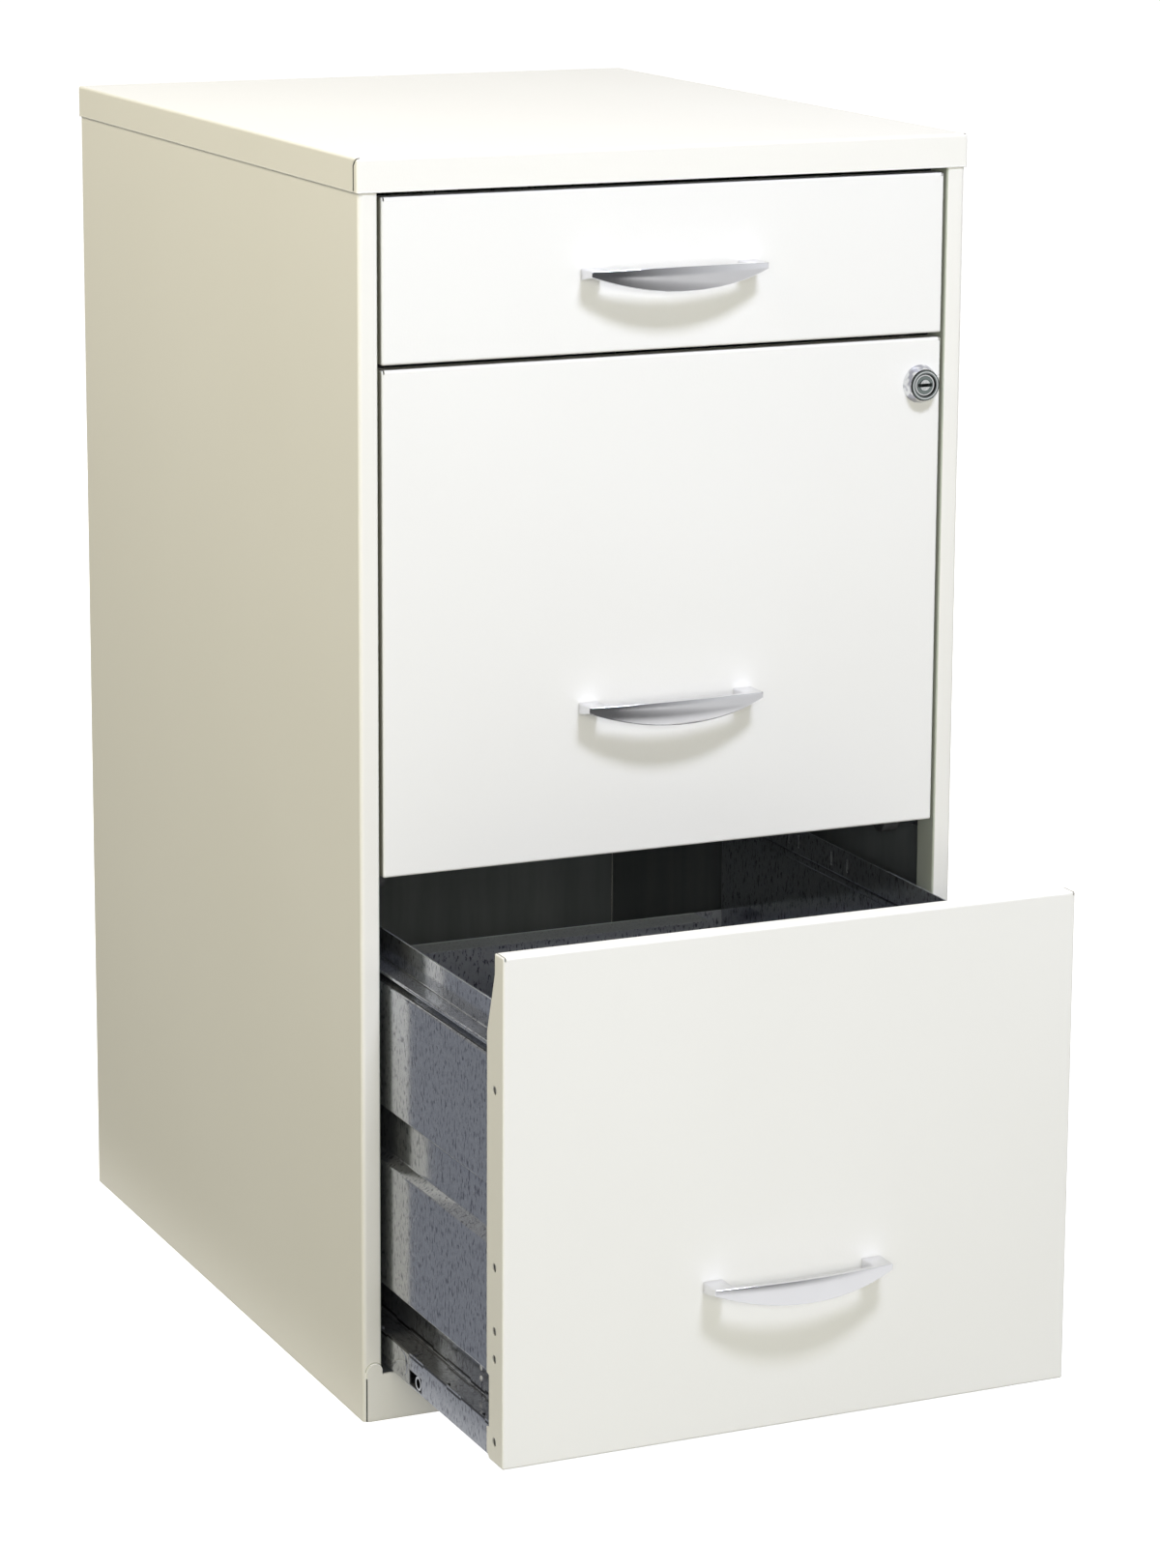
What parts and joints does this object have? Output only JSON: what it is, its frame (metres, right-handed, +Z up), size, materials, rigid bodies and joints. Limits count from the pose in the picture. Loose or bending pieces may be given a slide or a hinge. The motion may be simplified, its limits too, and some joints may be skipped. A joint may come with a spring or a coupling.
{
  "type": "vertical filing cabinet",
  "caption": "Upright steel filing cabinet: a shallow drawer over taller file drawers on roller runners, with bow handles and a cam lock; the lowest drawer stands part open.",
  "frame": {"origin": "on the floor under the middle of the case", "axes": "+Z up, +X to the right as seen from the front, drawers pull out along -Y"},
  "size_m": [0.362, 0.6402, 0.6953],
  "materials": {
    "case_paint": "satin powder coat",
    "drawer_paint": "satin powder coat",
    "galvanised_sheet": "spangled zinc coating",
    "chrome": "polished",
    "lock_core": "satin nickel",
    "zinc_plate": "bright zinc",
    "roller_nylon": "moulded nylon"
  },
  "bodies": {
    "cabinet": {"side_panel_left": "case_paint", "side_panel_right": "case_paint", "back_panel": "case_paint", "top_cap": "case_paint", "kick_plate": "case_paint", "base_pan": "case_paint", "bottom_runner_left": "galvanised_sheet", "bottom_runner_right": "galvanised_sheet", "bottom_front_axles": "zinc_plate", "middle_runner_left": "galvanised_sheet", "middle_runner_right": "galvanised_sheet", "middle_front_axles": "zinc_plate", "top_runner_left": "galvanised_sheet", "top_runner_right": "galvanised_sheet", "top_front_axles": "zinc_plate"},
    "bottom_drawer": {"bottom_drawer_front": "drawer_paint", "bottom_drawer_side_left": "galvanised_sheet", "bottom_drawer_side_right": "galvanised_sheet", "bottom_drawer_floor": "galvanised_sheet", "bottom_drawer_back": "galvanised_sheet", "bottom_drawer_rail_left": "galvanised_sheet", "bottom_drawer_rail_right": "galvanised_sheet", "bottom_drawer_rail_spacers": "zinc_plate", "bottom_drawer_rear_axles": "zinc_plate", "bottom_drawer_handle": "chrome", "bottom_drawer_handle_screws": "zinc_plate"},
    "bottom_rear_rollers": {"bottom_drawer_rear_rollers": "roller_nylon"},
    "bottom_front_rollers": {"bottom_front_rollers": "roller_nylon"},
    "middle_drawer": {"middle_drawer_front": "drawer_paint", "middle_drawer_side_left": "galvanised_sheet", "middle_drawer_side_right": "galvanised_sheet", "middle_drawer_floor": "galvanised_sheet", "middle_drawer_back": "galvanised_sheet", "middle_drawer_rail_left": "galvanised_sheet", "middle_drawer_rail_right": "galvanised_sheet", "middle_drawer_rail_spacers": "zinc_plate", "middle_drawer_rear_axles": "zinc_plate", "middle_drawer_handle": "chrome", "middle_drawer_handle_screws": "zinc_plate", "lock_housing": "chrome", "lock_nut": "zinc_plate"},
    "middle_rear_rollers": {"middle_drawer_rear_rollers": "roller_nylon"},
    "middle_front_rollers": {"middle_front_rollers": "roller_nylon"},
    "top_drawer": {"top_drawer_front": "drawer_paint", "top_drawer_side_left": "galvanised_sheet", "top_drawer_side_right": "galvanised_sheet", "top_drawer_floor": "galvanised_sheet", "top_drawer_back": "galvanised_sheet", "top_drawer_rail_left": "galvanised_sheet", "top_drawer_rail_right": "galvanised_sheet", "top_drawer_rail_spacers": "zinc_plate", "top_drawer_rear_axles": "zinc_plate", "top_drawer_handle": "chrome", "top_drawer_handle_screws": "zinc_plate"},
    "top_rear_rollers": {"top_drawer_rear_rollers": "roller_nylon"},
    "top_front_rollers": {"top_front_rollers": "roller_nylon"},
    "lock_core": {"lock_plug": "lock_core", "lock_cam": "zinc_plate", "cam_screw": "zinc_plate"}
  },
  "joints": [
    {"name": "bottom_drawer_slide", "type": "slide", "parent": "cabinet", "child": "bottom_drawer", "axis": [0, -1, 0], "range_m": [-0.162, 0.138]},
    {"name": "bottom_rear_roller_spin", "type": "hinge", "parent": "bottom_drawer", "child": "bottom_rear_rollers", "pos_m": [0, 0.0226, 0.0403], "axis": [1, 0, 0], "range_deg": [-1161, 989]},
    {"name": "bottom_front_roller_spin", "type": "hinge", "parent": "cabinet", "child": "bottom_front_rollers", "pos_m": [0, -0.19, 0.0227], "axis": [1, 0, 0], "range_deg": [-1161, 989]},
    {"name": "middle_drawer_slide", "type": "slide", "parent": "cabinet", "child": "middle_drawer", "axis": [0, -1, 0], "range_m": [0, 0.3]},
    {"name": "middle_rear_roller_spin", "type": "hinge", "parent": "middle_drawer", "child": "middle_rear_rollers", "pos_m": [0, 0.1846, 0.3183], "axis": [1, 0, 0], "range_deg": [0, 2149]},
    {"name": "middle_front_roller_spin", "type": "hinge", "parent": "cabinet", "child": "middle_front_rollers", "pos_m": [0, -0.19, 0.3007], "axis": [1, 0, 0], "range_deg": [0, 2149]},
    {"name": "top_drawer_slide", "type": "slide", "parent": "cabinet", "child": "top_drawer", "axis": [0, -1, 0], "range_m": [0, 0.3]},
    {"name": "top_rear_roller_spin", "type": "hinge", "parent": "top_drawer", "child": "top_rear_rollers", "pos_m": [0, 0.1846, 0.5963], "axis": [1, 0, 0], "range_deg": [0, 2149]},
    {"name": "top_front_roller_spin", "type": "hinge", "parent": "cabinet", "child": "top_front_rollers", "pos_m": [0, -0.19, 0.5787], "axis": [1, 0, 0], "range_deg": [0, 2149]},
    {"name": "lock_turn", "type": "hinge", "parent": "middle_drawer", "child": "lock_core", "pos_m": [0.1545, -0.2276, 0.5574], "axis": [0, 1, 0], "range_deg": [0, 90]}
  ],
  "couplings": [
    {"joint": "bottom_rear_roller_spin", "follows": "bottom_drawer_slide", "rad_per_m": 125},
    {"joint": "bottom_front_roller_spin", "follows": "bottom_drawer_slide", "rad_per_m": 125},
    {"joint": "middle_rear_roller_spin", "follows": "middle_drawer_slide", "rad_per_m": 125},
    {"joint": "middle_front_roller_spin", "follows": "middle_drawer_slide", "rad_per_m": 125},
    {"joint": "top_rear_roller_spin", "follows": "top_drawer_slide", "rad_per_m": 125},
    {"joint": "top_front_roller_spin", "follows": "top_drawer_slide", "rad_per_m": 125}
  ]
}
